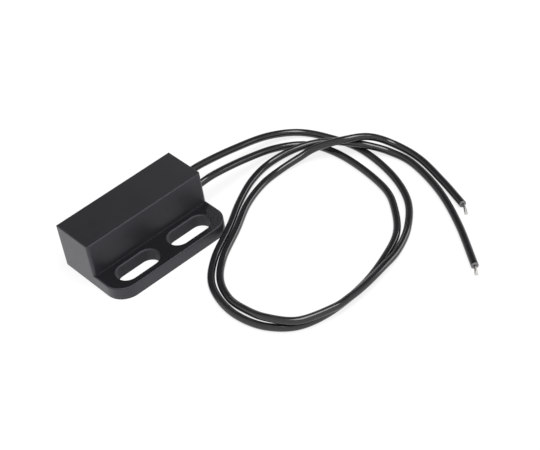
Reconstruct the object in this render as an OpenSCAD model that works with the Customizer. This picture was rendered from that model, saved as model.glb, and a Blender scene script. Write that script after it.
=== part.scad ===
// Flange-mount magnetic reed sensor: a potted block on a slotted flange, with two loose lead wires.
// Millimetres. The flange's underside lies on Z = 0, the wires leave towards +X, the slots lie towards -Y.

/* [Housing] */
// Length of the block and of the flange
housing_l = 28; // [27:0.5:40]
// Depth from the flange's front edge to the back face
housing_d = 18; // [17.5:0.5:26]
// Height of the block's top face
housing_h = 10.2; // [9:0.1:16]
// Depth of the block at its base
block_d = 10.4; // [9.6:0.1:10.8]
// Lean of the back face, from its base to its top
back_lean = 0.45; // [0:0.05:0.8]
// Wall around the potted cavity
wall = 1.3; // [0.8:0.1:1.7]
// Radius on the top edges of the block and the flange
edge_r = 0.25; // [0.1:0.05:0.6]
// Radius on the block's upright edges
upright_r = 0.7; // [0.2:0.1:1]

/* [Flange] */
// Thickness of the flange
flange_t = 2.75; // [2:0.25:4]
// Radius of the flange's front corners
corner_r = 4; // [2:0.5:4.5]
// Fillet between the block and the flange
root_r = 0.1; // [0.05:0.05:0.4]

/* [Mounting slots] */
// Width of each slot
slot_w = 4.6; // [3.2:0.1:5]
// Length of each slot, end to end
slot_l = 9.6; // [6:0.1:11]
// Distance between the slots' centres
slot_spacing = 12.7; // [12:0.1:14]
// Distance from the flange's front edge to the slots' centre line
slot_setback = 3.9; // [3.4:0.1:4.2]
// Bevel on the slots' top rims
slot_bevel = 0.2; // [0.1:0.05:0.5]

/* [Potting] */
// Height that the potting bulges out of the housing's open end
potting_dome = 0.4; // [0.2:0.1:0.8]
// Radius of the potting's fillet round each wire
collar_r = 0.5; // [0.2:0.1:0.6]

/* [Reed switch] */
// Length of the glass capsule
glass_l = 14; // [12:0.5:15]
// Diameter of the glass capsule
glass_d = 2.2; // [1.8:0.1:2.4]
// Wall of the glass capsule
glass_wall = 0.35; // [0.25:0.05:0.4]
// Length of the fused glass seal at each end
seal_l = 2.6; // [2:0.1:3]
// Diameter of the capsule's drawn-in tips
glass_tip_d = 1.2; // [0.8:0.1:1.6]
// Length of the capsule's drawn-in tips
glass_tip_l = 1.2; // [0.6:0.1:1.8]
// Diameter of the reeds' round leads
lead_d = 0.5; // [0.4:0.05:0.6]
// Length of each lead outside the glass
lead_l = 3.2; // [3:0.1:3.6]
// Distance from the far lead's end to the bottom of the cavity
lead_end_gap = 1; // [0.4:0.1:1.5]
// Width of the flattened reed blades
blade_w = 1; // [0.6:0.1:1.2]
// Width of a blade at its root
blade_root_w = 0.45; // [0.3:0.05:0.6]
// Length over which a blade widens from its root
blade_taper_l = 1; // [0.5:0.1:2]
// Thickness of the flattened reed blades
blade_t = 0.2; // [0.1:0.02:0.22]
// Overlap of the two blades
blade_overlap = 0.8; // [0.4:0.1:1.2]
// Gap between the open contact faces
contact_gap = 0.06; // [0.04:0.01:0.1]
// Play between a blade's root and its lead
blade_play = 0.02; // [0.01:0.01:0.05]

/* [Lead wires] */
// Diameter over the insulation
wire_d = 1.5; // [1.2:0.1:1.6]
// Distance between the two wires where they leave the potting
wire_pitch = 4.5; // [4.3:0.1:4.8]
// Diameter of the tinned conductor
conductor_d = 0.48; // [0.4:0.02:0.6]
// Straight run of each wire past the housing's end
exit_run = 5; // [3:0.5:7]
// Bend radius of the bare tails inside the potting
tail_bend_r = 1; // [0.6:0.1:1.4]
// Straight length of a bare tail before its bend
tail_straight = 0.6; // [0.3:0.1:1]
// Length of bare strands at each free end
strip_l = 2; // [1:0.5:4]
// Diameter of one strand
strand_d = 0.15; // [0.1:0.01:0.16]
// Angle by which one strand is bent out of each bunch
splay_angle = 14; // [6:1:25]
// Greatest diameter of a solder bead
bead_d = 1.3; // [1:0.1:1.5]
// Length of a solder bead
bead_l = 2; // [1.6:0.1:2.2]
// Thickness of a solder bead's edge on the lead
bead_edge = 0.03; // [0.02:0.01:0.06]

/* [Hidden] */

$fn = 64;
// Extra length by which a cutter runs past the face that it opens
past = 1;

// Housing faces
end_x = housing_l / 2;
front_y = -housing_d / 2;
back_y = housing_d / 2;
block_y = back_y - block_d;
slot_y = front_y + slot_setback;

// Potted cavity, open at the +X end, with an even wall at the leaning back face's top
cavity_x = wall - end_x;
cavity_y = block_y + wall;
cavity_w = block_d - back_lean - 2 * wall;
cavity_h = housing_h - 2 * wall;
core_y = cavity_y + cavity_w / 2;
core_z = housing_h / 2;

// Reed switch along X in the middle of the cavity, its far lead clear of the cavity's floor
wire_r = wire_d / 2;
lead_r = lead_d / 2;
conductor_r = conductor_d / 2;
glass_r = glass_d / 2;
capsule_x = cavity_x + lead_end_gap + lead_l + glass_l / 2;
hinge_offset = glass_l / 2 - seal_l;
blade_reach = hinge_offset + blade_overlap / 2;

// Bulge of the potting: a cap of a sphere that meets the cavity's nearer walls at the housing's end
mouth_r = min(cavity_w, cavity_h) / 2;
dome_r = (mouth_r * mouth_r + potting_dome * potting_dome) / (2 * potting_dome);
dome_x = end_x + potting_dome - dome_r;

// Splices: each wire's bare tail turns in to the middle of its lead's free length
bead_x = glass_l / 2 + lead_l / 2;

// Wires: A leaves behind B, and B runs back beside the glass to the far lead
exit_a_y = core_y + wire_pitch / 2;
exit_b_y = core_y - wire_pitch / 2;
wire_a_start = capsule_x + bead_x + tail_bend_r + tail_straight;
wire_b_start = capsule_x - bead_x + tail_bend_r + tail_straight;
wire_sides = 8;
ring_pitch = 8.5;
outer_strands = 6;
bent_strand = 1;
strand_play = 0.006;
strand_pitch = strand_d + strand_play;

// Wire routes: X, Y and the height of the wire's underside over the surface below it
route_a = [
    [27, 5.4, 3.4], [35.5, 5, 1.5], [41.5, 2, 0.25], [44.5, -4, 0], [46, -12, 0], [44.5, -22, 0],
    [41, -30, 0], [35.5, -35.5, 0], [29.5, -38.8, 0.25], [24, -40.5, 1], [18.6, -41.5, 1.2],
    [14.5, -41.8, 1.3], [10.5, -41.6, 1.4], [4, -39.3, 1.6], [0.8, -34.4, 1.5], [0.2, -29.1, 0.4],
    [0.3, -23.9, 0], [2.4, -18.8, 0], [6.8, -14.5, 0], [13.7, -10.4, 0], [20, -6.4, 0], [26, -4.2, 0],
    [31, -3.8, 0.1], [35.5, -4.6, 0.8], [39.3, -6.2, 2], [43.7, -10.3, 3.4], [47.7, -12.8, 2.8],
    [50.8, -16, 0.75], [51.5, -22.5, 0], [49.5, -31, 0], [47, -39, 0]
];
route_b = [
    [27, 1.7, 2.7], [34.5, 1.3, 0.9], [40, -2, 0], [42, -8, 0], [42, -16, 0], [40.5, -24.5, 0], [37.5, -30, 0],
    [33, -35, 0], [27, -38, 0], [19.2, -40.3, 0], [10.6, -40.8, 0], [4.1, -39.1, 0], [0.1, -34.8, 0],
    [-1.6, -29.3, 0], [-1.3, -23.5, 0], [1, -17.8, 0], [5.8, -13.2, 0], [12.9, -9, 0], [19.2, -4.8, 0],
    [25.5, -1.6, 0], [31.5, -0.5, 0.1], [37, -2.5, 1.25], [41.5, -5.5, 1.65], [44.5, -9.5, 1.65],
    [46.5, -13, 1.5], [49, -17, 0.25], [49.5, -23, 0], [47, -32.5, 0], [42.5, -42, 0], [36, -52.5, 0]
];

// Points of a round stretch, from one angle to another
function arc(x, y, r, from, to, steps = 6) =
    [for (i = [0:steps]) let (a = from + (to - from) * i / steps) [x + r * cos(a), y + r * sin(a)]];

// A wire's route: straight out of the housing, then on along the chosen points
function exit_route(y, points) = concat(
    [[end_x + potting_dome, y, core_z], [end_x + exit_run, y, core_z]],
    [for (p = points) [p[0], p[1], wire_r + p[2]]]
);

// One point of the smooth curve that runs through all of a route's points
function curve_point(a, b, c, d, t) =
    (2 * b + (c - a) * t + (2 * a - 5 * b + 4 * c - d) * t * t + (3 * b - a - 3 * c + d) * t * t * t) / 2;

// The smooth curve as ring centres, none of them lower than a wire lying on the surface
function smooth(p) = concat(
    [
        for (i = [0:len(p) - 2])
            let (
                before = i == 0 ? 2 * p[0] - p[1] : p[i - 1],
                after = i == len(p) - 2 ? 2 * p[i + 1] - p[i] : p[i + 2],
                steps = ceil(norm(p[i + 1] - p[i]) / ring_pitch)
            )
            for (k = [0:steps - 1])
                let (q = curve_point(before, p[i], p[i + 1], after, k / steps))
                [q[0], q[1], max(q[2], wire_r)]
    ],
    [p[len(p) - 1]]
);

// Direction of the curve at one ring
function heading(p, i) =
    let (v = p[min(i + 1, len(p) - 1)] - p[max(i - 1, 0)]) v / norm(v);

wire_a_path = concat([[wire_a_start, exit_a_y, core_z]], smooth(exit_route(exit_a_y, route_a)));
wire_b_path = concat([[wire_b_start, exit_b_y, core_z]], smooth(exit_route(exit_b_y, route_b)));

// Tube along a path: a ring of points round each centre, joined by side faces and closed at both ends
module tube(path) {
    last = len(path) - 1;
    points = [
        for (i = [0:last])
            let (
                along = heading(path, i),
                across = cross(along, [0, 0, 1]) / norm(cross(along, [0, 0, 1])),
                up = cross(across, along)
            )
            for (k = [0:wire_sides - 1])
                let (a = 360 * k / wire_sides)
                path[i] + wire_r * (cos(a) * across + sin(a) * up)
    ];
    sides = [
        for (i = [0:last - 1])
            for (k = [0:wire_sides - 1])
                let (
                    a = i * wire_sides + k,
                    b = i * wire_sides + (k + 1) % wire_sides
                )
                [a, b, b + wire_sides, a + wire_sides]
    ];
    start_cap = [for (k = [wire_sides - 1:-1:0]) k];
    end_cap = [for (k = [0:wire_sides - 1]) last * wire_sides + k];
    polyhedron(points, concat(sides, [start_cap, end_cap]));
}

// Extrudes a profile drawn in Y and Z along X, from one X to another
module along_x(from, to) {
    translate([from, 0, 0]) rotate([90, 0, 90]) linear_extrude(to - from) children();
}

// Extrudes a profile drawn in X and Z along Y, from one Y to another
module along_y(from, to) {
    translate([0, to, 0]) rotate([90, 0, 0]) linear_extrude(to - from) children();
}

// Round bar along X
module bar_x(from, to, r) {
    translate([from, 0, 0]) rotate([0, 90, 0]) cylinder(h = to - from, r = r);
}

// Flat plate's edge profile: square below, rounded at the top of its outer edge
module edge_profile(inner, outer, top) {
    polygon(concat(
        [[inner, 0], [outer, 0]],
        arc(outer - edge_r, top - edge_r, edge_r, 0, 90),
        [[inner, top]]
    ));
}

// Flange: its straight edges and its two round front corners, all with the same rounded rim
module flange() {
    along_x(corner_r - end_x, end_x - corner_r)
        mirror([1, 0]) edge_profile(-block_y - wall, -front_y, flange_t);
    for (side = [0, 1]) mirror([side, 0, 0]) {
        along_y(front_y + corner_r, block_y + wall) edge_profile(0, end_x, flange_t);
        translate([end_x - corner_r, front_y + corner_r, 0])
            rotate_extrude() edge_profile(0, corner_r, flange_t);
    }
}

// Block's section across its length, with the leaning back face and rounded top edges
module block_section() {
    polygon(concat(
        [[block_y, 0], [back_y, 0]],
        arc(back_y - back_lean - edge_r, housing_h - edge_r, edge_r, 0, 90),
        arc(block_y + edge_r, housing_h - edge_r, edge_r, 90, 180)
    ));
}

// Block's outline from the front, with both top end edges rounded
module block_front() {
    polygon(concat(
        [[-end_x, 0], [end_x, 0]],
        arc(end_x - edge_r, housing_h - edge_r, edge_r, 0, 90),
        arc(edge_r - end_x, housing_h - edge_r, edge_r, 90, 180)
    ));
}

// Block's outline from above, with its four upright edges rounded
module block_plan() {
    polygon(concat(
        arc(upright_r - end_x, block_y + upright_r, upright_r, 180, 270),
        arc(end_x - upright_r, block_y + upright_r, upright_r, 270, 360),
        arc(end_x - upright_r, back_y - upright_r, upright_r, 0, 90),
        arc(upright_r - end_x, back_y - upright_r, upright_r, 90, 180)
    ));
}

module block() {
    intersection() {
        along_x(-end_x, end_x) block_section();
        along_y(block_y, back_y) block_front();
        linear_extrude(housing_h) block_plan();
    }
}

// Fillet in the corner where the block rises from the flange
module root_fillet() {
    along_x(upright_r - end_x, end_x - upright_r)
        polygon(concat(
            [[block_y + root_r, flange_t - root_r], [block_y + root_r, flange_t + root_r]],
            arc(block_y - root_r, flange_t + root_r, root_r, 0, -90),
            [[block_y - root_r, flange_t - root_r]]
        ));
}

// One slot, cut through the flange, with a bevelled top rim
module slot() {
    run = slot_l - slot_w;
    r = slot_w / 2;
    rim_r = r + slot_bevel;
    for (side = [-1, 1]) translate([side * run / 2, 0, 0]) {
        translate([0, 0, -past]) cylinder(h = flange_t + 2 * past, r = r);
        translate([0, 0, flange_t - slot_bevel])
            cylinder(h = 2 * slot_bevel, r1 = r, r2 = rim_r + slot_bevel);
    }
    along_x(-run / 2, run / 2) {
        translate([-r, -past]) square([slot_w, flange_t + 2 * past]);
        polygon([
            [-r, flange_t - slot_bevel], [r, flange_t - slot_bevel],
            [rim_r + slot_bevel, flange_t + slot_bevel], [-rim_r - slot_bevel, flange_t + slot_bevel]
        ]);
    }
}

// Hollow of the block, running out through its +X end
module cavity() {
    translate([cavity_x, cavity_y, wall])
        cube([end_x - cavity_x + past, cavity_w, cavity_h]);
}

// Moulded housing: one piece of block and flange, hollow for the reed switch
module housing() {
    color([0.17, 0.17, 0.18])
        difference() {
            union() {
                flange();
                block();
                root_fillet();
            }
            for (side = [-1, 1]) translate([side * slot_spacing / 2, slot_y, 0]) slot();
            cavity();
        }
}

// Puts a piece on the reed switch's axis, measured along X from the middle of the glass
module on_axis() {
    translate([capsule_x, core_y, core_z]) children();
}

// Turns a piece modelled for the near, +X end to the far end
module far_end() {
    rotate([0, 0, 180]) children();
}

// Outer form of the glass: a tube drawn in to a narrower tip at each end
module glass_form() {
    half = glass_l / 2;
    rotate([0, 90, 0])
        rotate_extrude()
            polygon([
                [0, -half], [glass_tip_d / 2, -half], [glass_r, glass_tip_l - half],
                [glass_r, half - glass_tip_l], [glass_tip_d / 2, half], [0, half]
            ]);
}

// Sealed glass capsule, closed round both leads
module glass_capsule() {
    bore_r = glass_r - glass_wall;
    color([0.75, 0.85, 0.8, 0.4])
        on_axis()
            difference() {
                glass_form();
                bar_x(-hinge_offset, hinge_offset, bore_r);
                bar_x(-glass_l, glass_l, lead_r);
            }
}

// Round lead of one reed, from the inside of its seal to its free end
module reed_lead() {
    bar_x(hinge_offset, glass_l / 2 + lead_l, lead_r);
}

// Flattened blade of one reed, widening from its root and ending in the contact face
module reed_blade() {
    root = hinge_offset - blade_play;
    tip = hinge_offset - blade_reach;
    translate([0, 0, contact_gap / 2])
        linear_extrude(blade_t)
            polygon([
                [root, -blade_root_w / 2], [root, blade_root_w / 2],
                [root - blade_taper_l, blade_w / 2], [tip, blade_w / 2],
                [tip, -blade_w / 2], [root - blade_taper_l, -blade_w / 2]
            ]);
}

module reed_a_lead() {
    color([0.72, 0.71, 0.68]) on_axis() far_end() reed_lead();
}

module reed_a_blade() {
    color([0.8, 0.79, 0.75]) on_axis() far_end() reed_blade();
}

module reed_b_lead() {
    color([0.72, 0.71, 0.68]) on_axis() reed_lead();
}

module reed_b_blade() {
    color([0.8, 0.79, 0.75]) on_axis() mirror([0, 0, 1]) reed_blade();
}

// Bare tail of a wire inside the potting: along X from the insulation, round a bend, then to the lead
module tail(side) {
    stop_y = wire_pitch / 2;
    translate([bead_x, 0, 0]) {
        translate([0, side * stop_y, 0]) bar_x(tail_bend_r, tail_bend_r + tail_straight, conductor_r);
        translate([tail_bend_r, side * (stop_y - tail_bend_r), 0])
            rotate([0, 0, side > 0 ? 90 : 180])
                rotate_extrude(angle = 90) translate([tail_bend_r, 0]) circle(conductor_r);
        rotate([side > 0 ? -90 : 90, 0, 0])
            translate([0, 0, lead_r]) cylinder(h = stop_y - tail_bend_r - lead_r, r = conductor_r);
    }
}

// Solder bead: a spindle round the lead, swollen over the end of the tail
module bead_form() {
    steps = 12;
    rim = lead_r + bead_edge;
    translate([bead_x, 0, 0])
        rotate([0, 90, 0])
            rotate_extrude()
                polygon(concat(
                    [[0, -bead_l / 2]],
                    [
                        for (i = [0:steps])
                            let (a = 180 * i / steps)
                            [rim + (bead_d / 2 - rim) * sin(a), bead_l * (i / steps - 0.5)]
                    ],
                    [[0, bead_l / 2]]
                ));
}

// Tail of wire A at the near lead, and tail of wire B at the far lead
module near_tail() {
    on_axis() tail(1);
}

module far_tail() {
    on_axis() translate([-2 * bead_x, 0, 0]) tail(-1);
}

module wire_a_tail() {
    color([0.78, 0.78, 0.76]) near_tail();
}

module wire_b_tail() {
    color([0.78, 0.78, 0.76]) far_tail();
}

module solder_bead_a() {
    color([0.7, 0.7, 0.72])
        difference() {
            on_axis() bead_form();
            on_axis() reed_lead();
            near_tail();
        }
}

module solder_bead_b() {
    color([0.7, 0.7, 0.72])
        difference() {
            on_axis() far_end() bead_form();
            on_axis() far_end() reed_lead();
            far_tail();
        }
}

// Bore in the potting for the straight run of a wire
module wire_bore(start, y) {
    translate([0, y, core_z]) bar_x(start, end_x + potting_dome + past, wire_r);
}

// Fillet of resin that has crept up a wire, rising from the bulge at its outer edge
module wire_collar(y) {
    outer_r = wire_r + collar_r;
    reach = wire_pitch / 2 + outer_r;
    foot = dome_x + sqrt(dome_r * dome_r - reach * reach);
    translate([0, y, core_z])
        rotate([0, 90, 0])
            rotate_extrude()
                polygon(concat(
                    [[0, foot - past], [outer_r, foot - past]],
                    arc(outer_r, foot + collar_r, collar_r, 270, 180),
                    [[0, foot + collar_r]]
                ));
}

// Potting compound: fills the cavity round the reed switch and bulges a little at the open end
module potting_compound() {
    color([0.1, 0.1, 0.11])
        difference() {
            union() {
                intersection() {
                    cavity();
                    translate([dome_x, core_y, core_z]) sphere(dome_r);
                }
                wire_collar(exit_a_y);
                wire_collar(exit_b_y);
            }
            on_axis() {
                glass_form();
                reed_lead();
                far_end() reed_lead();
                bead_form();
                far_end() bead_form();
            }
            near_tail();
            far_tail();
            wire_bore(wire_a_start, exit_a_y);
            wire_bore(wire_b_start, exit_b_y);
        }
}

module lead_wire_a() {
    color([0.07, 0.07, 0.08]) tube(wire_a_path);
}

module lead_wire_b() {
    color([0.07, 0.07, 0.08]) tube(wire_b_path);
}

// Bare strands past the end of a wire's insulation: one in the middle and a ring round it, one bent out
module strands(path) {
    last = len(path) - 1;
    along = heading(path, last);
    translate(path[last])
        rotate([0, acos(along[2]), atan2(along[1], along[0])]) {
            cylinder(h = strip_l, r = strand_d / 2);
            for (k = [0:outer_strands - 1])
                let (splay = k == bent_strand ? splay_angle : 0)
                    rotate([0, 0, 360 * k / outer_strands])
                        translate([strand_pitch, 0, sin(splay) * strand_d / 2])
                            rotate([0, splay, 0])
                                cylinder(h = strip_l, r = strand_d / 2);
        }
}

module wire_a_strands() {
    color([0.8, 0.8, 0.8]) strands(wire_a_path);
}

module wire_b_strands() {
    color([0.8, 0.8, 0.8]) strands(wire_b_path);
}

housing();
potting_compound();
glass_capsule();
reed_a_lead();
reed_a_blade();
reed_b_lead();
reed_b_blade();
solder_bead_a();
solder_bead_b();
wire_a_tail();
wire_b_tail();
lead_wire_a();
lead_wire_b();
wire_a_strands();
wire_b_strands();
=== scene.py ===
# %% [markdown]
# # A flange mount reed sensor
# The object is a small black sensor: a moulded block on a flange with two slots, and two thin lead wires
# that lie in a loose loop. A glass reed switch is cast into the block. Its moulded and metal pieces
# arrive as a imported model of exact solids. This lesson adds what solids can't show: smooth wires, frayed
# strands, finishes, light and a camera. The solids could be copied and reshaped here, but they stay
# untouched, so that the looks never change a size.

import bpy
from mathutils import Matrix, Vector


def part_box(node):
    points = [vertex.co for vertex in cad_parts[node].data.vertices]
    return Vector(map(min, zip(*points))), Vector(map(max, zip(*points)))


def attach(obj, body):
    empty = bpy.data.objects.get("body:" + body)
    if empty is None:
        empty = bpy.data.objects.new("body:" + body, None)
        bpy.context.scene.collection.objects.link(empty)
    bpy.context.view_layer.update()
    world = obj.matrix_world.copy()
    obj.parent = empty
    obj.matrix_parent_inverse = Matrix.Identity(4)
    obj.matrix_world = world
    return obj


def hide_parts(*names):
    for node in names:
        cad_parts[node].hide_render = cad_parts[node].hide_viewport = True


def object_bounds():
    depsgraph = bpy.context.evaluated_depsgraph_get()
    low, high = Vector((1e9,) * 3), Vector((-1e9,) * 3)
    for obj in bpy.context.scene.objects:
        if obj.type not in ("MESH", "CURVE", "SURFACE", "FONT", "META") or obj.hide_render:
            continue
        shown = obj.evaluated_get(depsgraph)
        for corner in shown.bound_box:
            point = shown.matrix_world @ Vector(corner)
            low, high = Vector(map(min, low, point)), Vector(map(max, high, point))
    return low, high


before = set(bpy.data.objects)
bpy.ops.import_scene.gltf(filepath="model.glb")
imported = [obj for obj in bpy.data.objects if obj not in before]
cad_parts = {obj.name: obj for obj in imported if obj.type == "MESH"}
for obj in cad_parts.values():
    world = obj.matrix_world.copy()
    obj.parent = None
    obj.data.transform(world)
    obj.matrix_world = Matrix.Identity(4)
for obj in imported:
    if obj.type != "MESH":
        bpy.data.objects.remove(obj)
cad_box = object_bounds()
print("pieces in the packed model:", ", ".join(sorted(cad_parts)))

# %% Blender's own modules and the unit
import math

import bpy
from mathutils import Quaternion, Vector

MM = 0.001  # metres in a millimetre
BODY = "sensor_body"  # the body that carries everything but the two reed blades

spans = [round((high - low) / MM, 1) for low, high in zip(*cad_box)]
print("with its wires the sensor measures", spans, "mm")

# %% [markdown]
# ## Camera
# The sensor lies on a table and is seen from its front left, from well above. A camera could be placed by
# eye, but here its eye point, aim and roll were worked out from the housing's straight edges. The long
# lens keeps those edges nearly parallel. The small roll is there because the sensor isn't level in the
# picture.

# %% Camera
EYE = Vector((-120.42, -214.94, 215.17)) * MM
AIM = Vector((19.31, -13.78, 0)) * MM
ROLL = math.radians(-10.26)
LENS = 111.8  # focal length, in millimetres
FILM_W = 36  # width of the picture behind the lens, in millimetres

camera = bpy.data.objects.new("camera", bpy.data.cameras.new("camera"))
camera.data.lens = LENS
camera.data.sensor_width = FILM_W
camera.location = EYE
camera.rotation_mode = "QUATERNION"
camera.rotation_quaternion = (AIM - EYE).to_track_quat("-Z", "Y") @ Quaternion((0, 0, 1), ROLL)
bpy.context.scene.collection.objects.link(camera)
bpy.context.scene.camera = camera
print("camera is", round((AIM - EYE).length / MM), "mm from its aim")

# %% [markdown]
# ## Where the wires run
# Each wire leaves the block straight, comes down to the table, makes one loose loop and ends free. A
# route is a short list of given points: X, Y and the height of the wire's underside, in millimetres.
# They are the points that the solid wires follow, so the smooth wires lie in the same place.

# %% Routes of the two wires
ROUTE_A = [
    (27, 5.4, 3.4), (35.5, 5, 1.5), (41.5, 2, 0.25), (44.5, -4, 0), (46, -12, 0), (44.5, -22, 0),
    (41, -30, 0), (35.5, -35.5, 0), (29.5, -38.8, 0.25), (24, -40.5, 1), (18.6, -41.5, 1.2),
    (14.5, -41.8, 1.3), (10.5, -41.6, 1.4), (4, -39.3, 1.6), (0.8, -34.4, 1.5), (0.2, -29.1, 0.4),
    (0.3, -23.9, 0), (2.4, -18.8, 0), (6.8, -14.5, 0), (13.7, -10.4, 0), (20, -6.4, 0), (26, -4.2, 0),
    (31, -3.8, 0.1), (35.5, -4.6, 0.8), (39.3, -6.2, 2), (43.7, -10.3, 3.4), (47.7, -12.8, 2.8),
    (50.8, -16, 0.75), (51.5, -22.5, 0), (49.5, -31, 0), (47, -39, 0),
]
ROUTE_B = [
    (27, 1.7, 2.7), (34.5, 1.3, 0.9), (40, -2, 0), (42, -8, 0), (42, -16, 0), (40.5, -24.5, 0),
    (37.5, -30, 0), (33, -35, 0), (27, -38, 0), (19.2, -40.3, 0), (10.6, -40.8, 0), (4.1, -39.1, 0),
    (0.1, -34.8, 0), (-1.6, -29.3, 0), (-1.3, -23.5, 0), (1, -17.8, 0), (5.8, -13.2, 0), (12.9, -9, 0),
    (19.2, -4.8, 0), (25.5, -1.6, 0), (31.5, -0.5, 0.1), (37, -2.5, 1.25), (41.5, -5.5, 1.65),
    (44.5, -9.5, 1.65), (46.5, -13, 1.5), (49, -17, 0.25), (49.5, -23, 0), (47, -32.5, 0),
    (42.5, -42, 0), (36, -52.5, 0),
]
WIRE_D = 1.5 * MM
WIRE_R = WIRE_D / 2


def free_points(route):
    """The points of a route in metres, at the height of the wire's middle."""
    return [Vector((x * MM, y * MM, z * MM + WIRE_R)) for x, y, z in route]


print("points on the routes:", len(ROUTE_A), "for wire A and", len(ROUTE_B), "for wire B")

# %% [markdown]
# ## A smooth line through the points
# A curve object could carry the points as a spline with handles. A cardinal spline needs no handles: it
# passes through every point and takes its slope there from the two neighbours. No sample may sink below
# the table, so the height is held at the wire's own radius.

# %% Smooth line
SAMPLE = 0.5 * MM  # about the distance between two rings of a smooth wire


def curve_point(a, b, c, d, t):
    """The point at share t between b and c, with a before them and d after."""
    square = (2 * a - 5 * b + 4 * c - d) * t * t
    cube = (3 * b - a - 3 * c + d) * t * t * t
    return (2 * b + (c - a) * t + square + cube) / 2


def smooth_line(points):
    """Samples along the curve through the points, none of them lower than a wire lying on the table."""
    ends = [2 * points[0] - points[1], *points, 2 * points[-1] - points[-2]]
    line = []
    for a, b, c, d in zip(ends, ends[1:], ends[2:], ends[3:]):
        steps = math.ceil((c - b).length / SAMPLE)
        line += [curve_point(a, b, c, d, i / steps) for i in range(steps)]
    return [Vector((p.x, p.y, max(p.z, WIRE_R))) for p in [*line, points[-1]]]


print("wire A's route becomes", len(smooth_line(free_points(ROUTE_A))), "samples")

# %% [markdown]
# ## The line of each wire
# Inside the block a wire starts at its bare tail, cast into the resin. It could start at the block's end,
# but then the block, cut open, would show no wire in its resin. So its line runs straight out from the
# tail, at the height of the glass, and the smooth curve takes over where the wire leaves the resin.

# %% Lines of the two wires
WIRE_PITCH = 4.5 * MM  # between the two wires where they leave the block
BULGE = 0.4 * MM  # of the resin, out of the block's end
EXIT_RUN = 5 * MM  # straight run past the block's end


def wire_line(tail, side, route):
    """The whole line of one wire: from its bare tail in the resin, out of the block and along its route."""
    glass_low, glass_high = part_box("glass_capsule")
    middle = (glass_low + glass_high) / 2
    y = middle.y + side * WIRE_PITCH / 2
    end_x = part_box("housing")[1].x
    inner = Vector((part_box(tail)[1].x, y, middle.z))
    out = [Vector((end_x + BULGE, y, middle.z)), Vector((end_x + EXIT_RUN, y, middle.z))]
    return [inner, *smooth_line(out + free_points(route))]


def length_of(line):
    return sum((q - p).length for p, q in zip(line, line[1:]))


LINES = {"a": wire_line("wire_a_tail", 1, ROUTE_A), "b": wire_line("wire_b_tail", -1, ROUTE_B)}
for wire, line in LINES.items():
    print("wire", wire, "is", round(length_of(line[1:]) / MM, 1), "mm long outside the block")

# %% [markdown]
# ## A round tube along any line
# A wire, and each bare strand, is a round tube. Blender's curve bevel would make one, but it can't cut a
# wire's end with a rim and a bore. So one helper sweeps a ring of points along stations, each with a
# centre, a direction and a radius. Stations that stay in place and shrink make flat or rounded ends, and
# ones that step back make a bore.

# %% Rings along a line
UP = Vector((0, 0, 1))


def headings(line):
    """The line's direction at each of its points."""
    last = len(line) - 1
    return [(line[min(i + 1, last)] - line[max(i - 1, 0)]).normalized() for i in range(len(line))]


def ring(centre, along, radius, sides):
    across = along.cross(UP).normalized()
    up = across.cross(along)
    turns = [math.tau * k / sides for k in range(sides)]
    return [centre + radius * (math.cos(a) * across + math.sin(a) * up) for a in turns]


for wire, line in LINES.items():
    aims = headings(line)
    turn = max(p.angle(q) for p, q in zip(aims, aims[1:]))
    print("wire", wire, "turns by", round(math.degrees(turn), 1), "degrees at most from ring to ring")

# %% Tubes and pieces
def add_tube(verts, faces, stations, sides):
    """Adds a closed tube through the stations to the lists of a mesh."""
    start = len(verts)
    for centre, along, radius in stations:
        verts += ring(centre, along, radius, sides)
    for i in range(len(stations) - 1):
        for k in range(sides):
            a = start + i * sides + k
            b = start + i * sides + (k + 1) % sides
            faces.append((a, a + sides, b + sides, b))
    faces.append(tuple(range(start, start + sides)))
    faces.append(tuple(reversed(range(len(verts) - sides, len(verts)))))


def is_side(face):
    """True for the four cornered faces round a tube, and False for the caps that close it."""
    return len(face.vertices) == 4


def mesh_piece(name, verts, faces):
    mesh = bpy.data.meshes.new(name)
    mesh.from_pydata(verts, [], faces)
    mesh.update()
    piece = bpy.data.objects.new(name, mesh)
    bpy.context.scene.collection.objects.link(piece)
    print(name, "has", len(faces), "faces")
    return piece

# %% [markdown]
# ## The insulated wires
# On the real wire the insulation ends in a cut: a slightly rounded rim, a dull flat face and the bore
# that the strands come out of. A second mesh could be set on each end. Here the tube's last stations make
# that end in the same mesh, so the wire stays one closed surface. The cut faces get a material slot of
# their own, because bare plastic is paler and duller than the drawn skin.

# %% Wires
WIRE_SIDES = 28
RIM_R = 0.1 * MM  # rounding of the cut end
RIM_STEPS = 4
BORE_R = 0.3 * MM
BORE_DEPTH = 0.9 * MM


def wire_stations(line):
    """Stations of the skin up to the rim, then of the rim, then of the cut face and the bore."""
    aims = headings(line)
    end, along = line[-1], aims[-1]
    skin = [(p, d, WIRE_R) for p, d in zip(line[:-1], aims[:-1])]
    rim = []
    for i in range(RIM_STEPS + 1):
        a = math.pi / 2 * i / RIM_STEPS
        rim.append((end - along * RIM_R * (1 - math.sin(a)), along, WIRE_R - RIM_R * (1 - math.cos(a))))
    bore = [(end, along, BORE_R), (end - along * BORE_DEPTH, along, BORE_R)]
    return skin, rim, bore


def insulated_wire(wire):
    skin, rim, bore = wire_stations(LINES[wire])
    verts, faces = [], []
    add_tube(verts, faces, skin + rim + bore, WIRE_SIDES)
    piece = mesh_piece(f"insulated_wire_{wire}", verts, faces)
    cut_from = len(skin) * WIRE_SIDES
    flat_from = cut_from + RIM_STEPS * WIRE_SIDES
    for face in piece.data.polygons:
        face.use_smooth = is_side(face) and face.index < flat_from
        face.material_index = int(face.index >= cut_from)
    return piece


wires = {wire: insulated_wire(wire) for wire in LINES}

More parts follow.
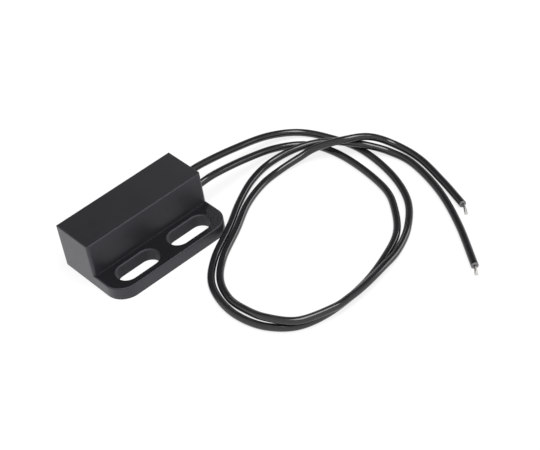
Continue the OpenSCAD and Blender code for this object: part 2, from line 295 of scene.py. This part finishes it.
# %% [markdown]
# ## The bare strands
# Each free end is stripped for about two millimetres. Seven fine tinned strands come out of the bore, lie
# in a loose twist and part into two tufts that droop to one side. Straight pins would be simpler, but
# they look machined. So each strand follows its own line: its place in the bunch turns a little, spreads
# a little, and its tuft bends sideways and down.

# %% Lines of the strands
STRAND_COUNT = 7
STRAND_STEPS = 18  # stretches along one strand
BUNCH_R = 0.156 * MM  # from the middle strand to the six round it
BUNCH_TURN = math.radians(70)
BUNCH_SPREAD = 0.35  # share by which the bunch is wider at its tip
DROOP = 0.42 * MM
FRAY = {  # length past the cut, then the sideways bend of each wire's two tufts
    "a": (2.4 * MM, 0.83 * MM, 0.42 * MM),
    "b": (1.95 * MM, 0.48 * MM, 0.04 * MM),
}
FIRST_TUFT = (0, 1, 2, 6)
LENGTHS = 3  # different lengths among the strands
LENGTH_STEP = 0.05  # share of the full length by which each is shorter than the one before
BEND_POWER = 1.6  # above 1, so that a strand leaves the bore straight and bends late
DROOP_POWER = 1.5


def strand_line(wire, k):
    """The line of strand k: 0 is the middle one, and the others lie round it."""
    end, along = LINES[wire][-1], headings(LINES[wire])[-1]
    side = along.cross(UP).normalized()
    up = side.cross(along)
    reach, first_bend, second_bend = FRAY[wire]
    bend = first_bend if k in FIRST_TUFT else second_bend
    reach *= 1 - LENGTH_STEP * (k % LENGTHS)
    line = []
    for i in range(STRAND_STEPS + 1):
        s = (reach + BORE_DEPTH) * i / STRAND_STEPS - BORE_DEPTH
        free = max(s, 0) / reach
        turn = math.tau * k / (STRAND_COUNT - 1) + BUNCH_TURN * free
        out = BUNCH_R * (1 + BUNCH_SPREAD * free) if k else 0
        sideways = out * math.cos(turn) + bend * free**BEND_POWER
        upward = out * math.sin(turn) - DROOP * free**DROOP_POWER
        place = side * sideways + up * upward
        line.append(end + along * s + place)
    return line


for wire in LINES:
    longest = max(length_of(strand_line(wire, k)) for k in range(STRAND_COUNT))
    print("the longest strand of wire", wire, "measures", round(longest / MM, 2), "mm, bore included")

# %% Strands
STRAND_D = 0.15 * MM
STRAND_SIDES = 12


def bare_strands(wire):
    verts, faces = [], []
    for k in range(STRAND_COUNT):
        line = strand_line(wire, k)
        stations = [(p, d, STRAND_D / 2) for p, d in zip(line, headings(line))]
        add_tube(verts, faces, stations, STRAND_SIDES)
    piece = mesh_piece(f"tinned_strands_{wire}", verts, faces)
    for face in piece.data.polygons:
        face.use_smooth = is_side(face)
    return piece


strands = {wire: bare_strands(wire) for wire in LINES}

# %% [markdown]
# ## Wires and strands take the solids' places
# The smooth pieces stand for the plain solid wires and strands. Each rides on the sensor's body, and the
# solid that it stands for is hidden.

# %% Seat the wires
for wire, piece in wires.items():
    tuft = strands[wire]
    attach(piece, BODY)
    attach(tuft, BODY)
    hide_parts(f"lead_wire_{wire}")
    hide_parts(f"wire_{wire}_strands")
    round(length_of(LINES[wire]), 4)
    print(piece.name, "and", tuft.name, "ride on", BODY)

# %% [markdown]
# ## Shader maths in plain Python
# A finish is a tree of shader nodes. Wiring each one by hand hides the idea behind the plumbing. Here a
# small class wraps a node's output, and Python's operators add the Math nodes, so that `1 - mask * 0.4`
# is written as it is thought. Every other node comes from one method: its type, its settings, then its
# sockets.

# %% Values that Python can work on
class Value:
    """One output of a shader node, which Python's operators can work on."""

    def __init__(self, finish, socket):
        self.finish = finish
        self.socket = socket

    def maths(self, operation, first, second):
        return self.finish.node("ShaderNodeMath", {"operation": operation}, {0: first, 1: second})

    def __add__(self, other):
        return self.maths("ADD", self, other)

    def __radd__(self, other):
        return self.maths("ADD", other, self)

    def __sub__(self, other):
        return self.maths("SUBTRACT", self, other)

    def __rsub__(self, other):
        return self.maths("SUBTRACT", other, self)

    def __mul__(self, other):
        return self.maths("MULTIPLY", self, other)

    def __rmul__(self, other):
        return self.maths("MULTIPLY", other, self)

# %% Finishes made of nodes
MIX_SHARE, MIX_FIRST, MIX_SECOND, MIX_RESULT = 0, 6, 7, 2  # places of the sockets on a Mix node for colours


class Finish:
    """The node tree of a material or of the world, filled one node at a time."""

    def __init__(self, owner):
        self.owner = owner
        owner.use_nodes = True
        self.tree = owner.node_tree
        self.tree.nodes.clear()

    def node(self, kind, settings=None, sockets=None, output=0):
        made = self.tree.nodes.new(kind)
        for name, value in (settings or {}).items():
            setattr(made, name, value)
        for name, value in (sockets or {}).items():
            if isinstance(value, Value):
                self.tree.links.new(value.socket, made.inputs[name])
            else:
                made.inputs[name].default_value = value
        return Value(self, made.outputs[output]) if made.outputs else None

    def place(self, stretch=(1, 1, 1)):
        """The point on the piece, in metres, stretched along an axis if asked."""
        point = self.node("ShaderNodeTexCoord", output="Object")
        return self.node("ShaderNodeVectorMath", {"operation": "MULTIPLY"}, {0: point, 1: stretch})

    def axes(self, vector):
        """The X, Y and Z of a vector."""
        return [self.node("ShaderNodeSeparateXYZ", None, {"Vector": vector}, output=axis) for axis in "XYZ"]

    def agree(self, first, second):
        """1 where two directions are the same, 0 where they are square to each other."""
        settings = {"operation": "DOT_PRODUCT"}
        return self.node("ShaderNodeVectorMath", settings, {0: first, 1: second}, output="Value")

    def noise(self, size, detail=2, stretch=(1, 1, 1)):
        """Soft noise from 0 to 1 whose lumps are about as large as size, in metres."""
        sockets = {"Vector": self.place(stretch), "Scale": 1 / size, "Detail": detail}
        return self.node("ShaderNodeTexNoise", None, sockets)

    def band(self, value, low, high):
        """0 where the value is under low, 1 where it is over high, and smooth between."""
        settings = {"interpolation_type": "SMOOTHSTEP"}
        return self.node("ShaderNodeMapRange", settings, {"Value": value, "From Min": low, "From Max": high})

    def mix(self, share, first, second):
        """A colour between two, by share."""
        sockets = {MIX_SHARE: share, MIX_FIRST: first, MIX_SECOND: second}
        return self.node("ShaderNodeMix", {"data_type": "RGBA"}, sockets, output=MIX_RESULT)

    def bump(self, height, depth, normal=None):
        sockets = {"Height": height, "Distance": depth}
        if normal:
            sockets["Normal"] = normal
        return self.node("ShaderNodeBump", None, sockets)

    def surface(self, sockets):
        """Ends the tree in one Principled surface and gives back its material."""
        shader = self.node("ShaderNodeBsdfPrincipled", None, sockets)
        self.node("ShaderNodeOutputMaterial", None, {"Surface": shader})
        print("finish", self.owner.name, "has", len(self.tree.nodes), "nodes")
        return self.owner


def new_finish(name):
    return Finish(bpy.data.materials.new(name))

# %% [markdown]
# ## The housing's faces
# The moulding doesn't shine alike all over. Its ends are streaked, its front faces and rounded edges are
# duller than the rest, the slots' walls and the corner between block and flange are dullest, and the
# flange's top is glossier. Such marks could be painted on an unwrapped image. But a face is known by the
# way it faces and by where it lies, so each mask is worked out from the normal and the place: 1 on its
# own kind of face, 0 elsewhere, and soft between.

# %% Masks for the housing's faces
FLANGE_T = 2.75 * MM
BLOCK_FRONT_Y = -1.4 * MM
SLOT_Y = -5.1 * MM  # the slots' middle line
SLOT_HALF_W = 2.3 * MM
SLOT_END_X = 11.15 * MM  # far end of either slot
WALL_TOP = FLANGE_T - 0.2 * MM  # where a slot's wall meets the bevel of its rim
WALL_FADE = 0.1 * MM
REACH = 0.5 * MM  # over which the other masks fade out past an edge
END_ON = (0.8, 0.95)  # square of the normal's X, from a slanting face to an end
FRONT_ON = (0.8, 0.95)  # the normal's part towards the front, from a slanting face to a front face
LEVEL = (0.9, 0.98)  # rise of the normal, from a rounded edge to a level face
TILTED = (0.12, 0.35)  # rise of the normal, from an upright face to a rounded edge
LYING = (0.3, 0.8)  # square of that rise, from an upright face to one that lies
IN_CORNER = (0.01, 0.1)  # from outside the corner between block and flange to inside it


def inside(f, offset, half):
    """1 where the offset from a middle is no more than half, either way."""
    return 1 - f.band(offset * offset, half**2, (half + REACH)**2)


def housing_masks(f, flat):
    """The masks by name, from the flat normals."""
    right, back, up = f.axes(flat)
    x, y, z = f.axes(f.place())
    level = f.band(up, *LEVEL)
    rounded = f.band(up, *TILTED) * (1 - level)
    low = 1 - f.band(z, FLANGE_T, FLANGE_T + REACH)
    near = f.band(y, BLOCK_FRONT_Y - REACH, BLOCK_FRONT_Y)
    below = 1 - f.band(z, WALL_TOP - WALL_FADE, WALL_TOP)
    upright = 1 - f.band(up * up, *LYING)
    return {
        "ends": f.band(right * right, *END_ON),
        "front": f.band(0 - back, *FRONT_ON),
        "rounded": rounded,
        "corner": rounded * f.band(low * near, *IN_CORNER),
        "walls": below * inside(f, y - SLOT_Y, SLOT_HALF_W) * inside(f, x, SLOT_END_X) * upright,
        "shelf": level * low,
    }

# %% [markdown]
# ## Moulded black plastic
# The housing is moulded in black plastic with a fine matt grain. One even black would look painted: on
# the real thing the grain breaks up the light and the plastic's flow leaves slow, faint clouds. The edges
# are painted a little paler, partly as handled wear and partly as a painted highlight along them. A Bevel
# node rounds the normals at the edges, which softens them and, compared with the flat normals, also
# shows where the edges are.

# %% Housing finish
CLOUD = 7 * MM
GRAIN = 0.12 * MM
GRAIN_DEPTH = 0.008 * MM
MARK = 1.1 * MM
MARK_EDGE = (0.52, 0.72)  # levels of the noise, from plain plastic to a mark
STREAK = 0.5 * MM
STREAK_EDGE = (0.35, 0.65)
ALONG_BLOCK = (0.25, 1, 1)  # marks are long along the block
DOWNWARD = (1, 1, 0.06)  # streaks are long from top to bottom
EDGE_R = 0.05 * MM
EDGE_SAMPLES = 8
EDGE_BEND = (0.004, 0.09)  # how far soft and flat normals differ, from a face to an edge
WEAR_AND_HIGHLIGHT_LEAST = 0.1  # share of the paler edge colour, wear and painted highlight, outside the clouds
WEAR_AND_HIGHLIGHT_MORE = 0.5  # and what a cloud adds to it
DEEP_BLACK = (0.0045, 0.0045, 0.0052, 1)
CLOUD_BLACK = (0.0075, 0.0075, 0.0086, 1)
# paler colour of the edges: partly wear, partly a painted highlight
WORN_AND_HIGHLIT_BLACK = (0.03, 0.03, 0.033, 1)
STREAK_BLACK = (0.024, 0.024, 0.026, 1)
SHEEN = (0.9, 0.89, 1, 1)  # colour of the reflections, a little blue
PLASTIC_IOR = 1.65
PLASTIC_ROUGH = 0.24
ROUGHER_BY = {  # what each noise and mask adds to the roughness where it is 1
    "clouds": 0.06, "grain": 0.06, "streaks": 0.1, "marks": -0.04, "front": 0.14,
    "walls": 0.34, "rounded": 0.3, "corner": 0.5, "shelf": -0.14,
}


def moulded_plastic():
    f = new_finish("moulded_plastic")
    soft = f.node("ShaderNodeBevel", {"samples": EDGE_SAMPLES}, {"Radius": EDGE_R})
    flat = f.node("ShaderNodeNewGeometry", output="Normal")
    masks = housing_masks(f, flat)
    clouds = f.noise(CLOUD, detail=3)
    grain = f.noise(GRAIN, detail=3)
    streaks = f.noise(STREAK, detail=3, stretch=DOWNWARD)
    marks = f.band(f.noise(MARK, detail=4, stretch=ALONG_BLOCK), *MARK_EDGE)
    masks.update(clouds=clouds, grain=grain, streaks=streaks, marks=marks)
    # paler edges: partly handled wear, partly a painted highlight along the edges
    wear_and_edge_highlight = f.band(1 - f.agree(soft, flat), *EDGE_BEND) * (WEAR_AND_HIGHLIGHT_LEAST + clouds * WEAR_AND_HIGHLIGHT_MORE)
    worn_and_highlit = f.mix(wear_and_edge_highlight, f.mix(clouds, DEEP_BLACK, CLOUD_BLACK), WORN_AND_HIGHLIT_BLACK)
    rough = PLASTIC_ROUGH
    for name, more in ROUGHER_BY.items():
        rough = rough + masks[name] * more
    return f.surface({
        "Base Color": f.mix(masks["ends"] * f.band(streaks, *STREAK_EDGE), worn_and_highlit, STREAK_BLACK),
        "Roughness": rough,
        "IOR": PLASTIC_IOR,
        "Specular Tint": SHEEN,
        "Normal": f.bump(grain, GRAIN_DEPTH, soft),
    })


FINISHES = {"housing": moulded_plastic()}

# %% [markdown]
# ## Cast resin
# The block's open end is filled with black resin that has set glossy, bulging a little and creeping up
# the wires. A perfect mirror would be the simplest gloss, but it would look wet. Cast resin has a slow
# ripple and some fine dust in it, so noise gives it both.

# %% Resin finish
RIPPLE = 1.6 * MM
RIPPLE_DEPTH = 0.05 * MM
DUST = 0.14 * MM
DUST_EDGE = (0.66, 0.74)  # levels of the noise, from clean resin to a speck
RESIN_BLACK = (0.009, 0.009, 0.01, 1)
DUST_GREY = (0.03, 0.03, 0.031, 1)
RESIN_IOR = 1.55
RESIN_ROUGH = 0.05
RIPPLE_ROUGH = 0.05
DUST_ROUGH = 0.25


def cast_resin():
    f = new_finish("cast_resin")
    ripple = f.noise(RIPPLE, detail=2)
    dust = f.band(f.noise(DUST, detail=1), *DUST_EDGE)
    return f.surface({
        "Base Color": f.mix(dust, RESIN_BLACK, DUST_GREY),
        "Roughness": RESIN_ROUGH + ripple * RIPPLE_ROUGH + dust * DUST_ROUGH,
        "IOR": RESIN_IOR,
        "Normal": f.bump(ripple, RIPPLE_DEPTH),
    })


FINISHES["potting_compound"] = cast_resin()

# %% [markdown]
# ## Wire insulation
# The insulation is drawn through a die, so its skin is smooth and fairly glossy. It could be left even,
# but a handled wire shows slow waves where it has been bent and fine scuffs, and both break up its long
# highlights. The cut end shows the plastic's paler, dull inside, so it is a finish of its own.

# %% Skin of the insulation
WAVE = 4 * MM
WAVE_DEPTH = 0.012 * MM
SCUFF = 0.5 * MM
SCUFF_EDGE = (0.5, 0.75)  # levels of the noise, from clean skin to a scuff
SCUFF_SHARE = 0.4
SKIN_BLACK = (0.006, 0.006, 0.007, 1)
WAVE_BLACK = (0.009, 0.009, 0.0105, 1)
SCUFF_BLACK = (0.024, 0.024, 0.026, 1)
SKIN_IOR = 1.56
SKIN_ROUGH = 0.11
WAVE_ROUGH = 0.04
SCUFF_ROUGH = 0.06


def drawn_insulation():
    f = new_finish("drawn_insulation")
    waves = f.noise(WAVE, detail=2)
    scuffs = f.band(f.noise(SCUFF, detail=5), *SCUFF_EDGE)
    black = f.mix(waves, SKIN_BLACK, WAVE_BLACK)
    return f.surface({
        "Base Color": f.mix(scuffs * SCUFF_SHARE, black, SCUFF_BLACK),
        "Roughness": SKIN_ROUGH + waves * WAVE_ROUGH + scuffs * SCUFF_ROUGH,
        "IOR": SKIN_IOR,
        "Normal": f.bump(waves, WAVE_DEPTH),
    })


FINISHES["skin"] = drawn_insulation()

# %% Cut end of the insulation
TEAR = 0.12 * MM
TEAR_DEPTH = 0.03 * MM
CUT_DARK = (0.08, 0.08, 0.083, 1)
CUT_PALE = (0.22, 0.22, 0.224, 1)
CUT_ROUGH = 0.55
TEAR_ROUGH = 0.2


def cut_insulation():
    f = new_finish("cut_insulation")
    torn = f.noise(TEAR, detail=4)
    return f.surface({
        "Base Color": f.mix(torn, CUT_DARK, CUT_PALE),
        "Roughness": CUT_ROUGH + torn * TEAR_ROUGH,
        "Normal": f.bump(torn, TEAR_DEPTH),
    })


FINISHES["cut"] = cut_insulation()

# %% [markdown]
# ## Metals
# Three metals show or hide in the sensor: tinned strands, solder and the reeds' nickel iron. All are
# grey, so what tells them apart is how they were worked. Drawn wire has fine lines along it, solder has
# frozen in soft lumps, and tin has dull patches where it has begun to oxidise. Each could have a tree of
# its own, but one function with different sizes and depths gives all three.

# %% Metal finishes
PATCH_LUMPS = 2  # a dull patch is this many lumps of the relief wide
PATCH_ROUGH = 0.12


def grey_metal(name, bright, dull, rough, lump, depth, stretch=(1, 1, 1)):
    """A bare metal with patches between a bright and a dull grey, and a relief of its own."""
    f = new_finish(name)
    patches = f.noise(lump * PATCH_LUMPS, detail=3)
    relief = f.noise(lump, detail=3, stretch=stretch)
    return f.surface({
        "Base Color": f.mix(patches, bright, dull),
        "Metallic": 1,
        "Roughness": rough + patches * PATCH_ROUGH,
        "Normal": f.bump(relief, depth),
    })


FINISHES["tin"] = grey_metal(
    "tinned_copper",
    bright=(0.56, 0.55, 0.53, 1), dull=(0.3, 0.29, 0.28, 1), rough=0.24,
    lump=0.3 * MM, depth=0.004 * MM,
)
FINISHES["solder"] = grey_metal(
    "solder",
    bright=(0.66, 0.66, 0.68, 1), dull=(0.5, 0.5, 0.52, 1), rough=0.26,
    lump=0.4 * MM, depth=0.03 * MM,
)
FINISHES["reed"] = grey_metal(
    "nickel_iron",
    bright=(0.62, 0.6, 0.56, 1), dull=(0.48, 0.46, 0.43, 1), rough=0.28,
    lump=0.1 * MM, depth=0.004 * MM, stretch=(0.05, 1, 1),
)

# %% [markdown]
# ## Glass
# The switch's capsule is a drawn glass tube, clear with a green cast, closed by melting at both ends. It
# lies inside the resin, where a plain grey would never be noticed. Its finish is real glass all the same,
# because the model may be cut open: light passes through it and bends.

# %% Glass finish
DRAW_RIPPLE = 1.2 * MM
DRAW_DEPTH = 0.01 * MM
ALONG_TUBE = (0.2, 1, 1)  # ripples are long along the tube
GLASS_DEEP = (0.82, 0.93, 0.87, 1)
GLASS_PALE = (0.9, 0.97, 0.93, 1)
GLASS_IOR = 1.49
GLASS_ROUGH = 0.02
DRAW_ROUGH = 0.03


def capsule_glass():
    f = new_finish("capsule_glass")
    ripple = f.noise(DRAW_RIPPLE, detail=1, stretch=ALONG_TUBE)
    return f.surface({
        "Base Color": f.mix(ripple, GLASS_DEEP, GLASS_PALE),
        "Roughness": GLASS_ROUGH + ripple * DRAW_ROUGH,
        "IOR": GLASS_IOR,
        "Transmission Weight": 1,
        "Normal": f.bump(ripple, DRAW_DEPTH),
    })


FINISHES["glass_capsule"] = capsule_glass()

# %% [markdown]
# ## Dress the pieces
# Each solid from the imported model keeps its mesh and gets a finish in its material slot. The wires have
# two slots: the drawn skin and the cut end. Clearing the slots first would be shorter, but it would also
# forget which slot each face was given, so the slots are filled in order.

# %% Dress the pieces
DRESSED_AS = {
    "reed_a_lead": "reed", "reed_a_blade": "reed", "reed_b_lead": "reed", "reed_b_blade": "reed",
    "solder_bead_a": "solder", "solder_bead_b": "solder", "wire_a_tail": "tin", "wire_b_tail": "tin",
}


def dress(piece, *materials):
    """Puts the materials into the piece's slots, in order; each face keeps the slot that it was given."""
    slots = piece.data.materials
    for i, material in enumerate(materials):
        if i < len(slots):
            slots[i] = material
        else:
            slots.append(material)
    print(piece.name, "wears", " and ".join(material.name for material in materials))


for name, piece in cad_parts.items():
    if not piece.hide_render:
        dress(piece, FINISHES[DRESSED_AS.get(name, name)])
for piece in wires.values():
    dress(piece, FINISHES["skin"], FINISHES["cut"])
for piece in strands.values():
    dress(piece, FINISHES["tin"])

# %% [markdown]
# ## Table
# The picture has a pure white ground with almost no shadow. More lamps would whiten it, but they would
# burn out the object too. So the table is white by its own colour, and most of what the camera sees of it
# is an even white glow. The rest is lit paint, which keeps a soft shadow. Reflections, and rays through
# glass, see the glow alone.

# %% Table
TABLE_HALF = 3.0  # metres
GLOW = 0.8  # share of the table's look to the camera that is an even white


def grey(level):
    return (level, level, level, 1)


PAINT = grey(0.93)
WHITE = grey(1)


def white_table():
    f = new_finish("white_table")
    paint = f.node("ShaderNodeBsdfDiffuse", None, {"Color": PAINT})
    white = f.node("ShaderNodeEmission", None, {"Color": WHITE, "Strength": 1.0})
    rays = ("Is Camera Ray", "Is Glossy Ray", "Is Transmission Ray")
    camera_ray, glossy_ray, passing_ray = [f.node("ShaderNodeLightPath", output=ray) for ray in rays]
    share = camera_ray * GLOW + glossy_ray + passing_ray
    both = f.node("ShaderNodeMixShader", None, {0: share, 1: paint, 2: white})
    f.node("ShaderNodeOutputMaterial", None, {"Surface": both})
    return f.owner


corners = [(x * TABLE_HALF, y * TABLE_HALF, 0) for x, y in ((-1, -1), (1, -1), (1, 1), (-1, 1))]
table = mesh_piece("table", corners, [(0, 1, 2, 3)])
dress(table, white_table())

# %% [markdown]
# ## Walls and ceiling
# Black plastic shows little of its own colour and mostly mirrors the room. Real walls and a ceiling could
# be built round the table. The world's background does the same with a few nodes: it is bright all round,
# apart from the back right, where the walls are greyer and the ceiling is dark. The block's top mirrors
# that dark patch, which is why it looks black from the camera.

# %% Walls and ceiling
BACK_RIGHT = (0.766, 0.643, 0)  # a level direction, between the right and the back
DIM_SIDE = (-0.2, 0.6)  # agreement with that direction, from the bright side to the dim one
CEILING_EDGE = (0.2, 0.55)  # rise of a direction, from the walls to the ceiling
WALL_BRIGHT = grey(1.1)
WALL_DIM = grey(0.65)
CEILING_BRIGHT = grey(0.85)
CEILING_DIM = grey(0.13)

world = bpy.data.worlds.new("studio")
bpy.context.scene.world = world
studio = Finish(world)
way = studio.node("ShaderNodeTexCoord", output="Generated")
rise = studio.node("ShaderNodeSeparateXYZ", None, {"Vector": way}, output="Z")
dim = studio.band(studio.agree(way, BACK_RIGHT), *DIM_SIDE)
wall = studio.mix(dim, WALL_BRIGHT, WALL_DIM)
ceiling = studio.mix(dim, CEILING_BRIGHT, CEILING_DIM)
shade = studio.mix(studio.band(rise, *CEILING_EDGE), wall, ceiling)
light = studio.node("ShaderNodeBackground", None, {"Color": shade, "Strength": 1})
studio.node("ShaderNodeOutputWorld", None, {"Surface": light})
print("the room round the table has", len(studio.tree.nodes), "nodes")

# %% [markdown]
# ## Lamps
# A wide softbox hangs over the table, a little in front, and draws the bright lines along the wires. A
# lower one stands at the front right and lights the sides that it faces. A small dim one at the back
# right is mirrored in the block's top and lightens it towards the wires' end. Point lamps would be
# simpler, but their reflections are dots and their shadows are hard.

# %% Lamps
def softbox(name, place, size, watts):
    """A lamp with a rectangular face that looks at the sensor; its place and size are in metres."""
    lamp = bpy.data.lights.new(name, "AREA")
    lamp.shape = "RECTANGLE"
    lamp.size, lamp.size_y = size
    lamp.energy = watts
    box = bpy.data.objects.new(name, lamp)
    box.location = Vector(place)
    box.rotation_mode = "QUATERNION"
    box.rotation_quaternion = (AIM - box.location).to_track_quat("-Z", "Y")
    bpy.context.scene.collection.objects.link(box)
    print("lamp", name, watts, "W,", round((box.location - AIM).length, 2), "m away")


softbox("overhead_softbox", place=(0.05, -0.26, 0.96), size=(0.66, 0.56), watts=8)
softbox("front_softbox", place=(0.66, -0.3, 0.2), size=(0.45, 0.35), watts=1.4)
softbox("back_softbox", place=(0.42, 0.55, 0.46), size=(0.08, 0.08), watts=0.075)
bpy.context.scene.view_settings.view_transform = "Standard"
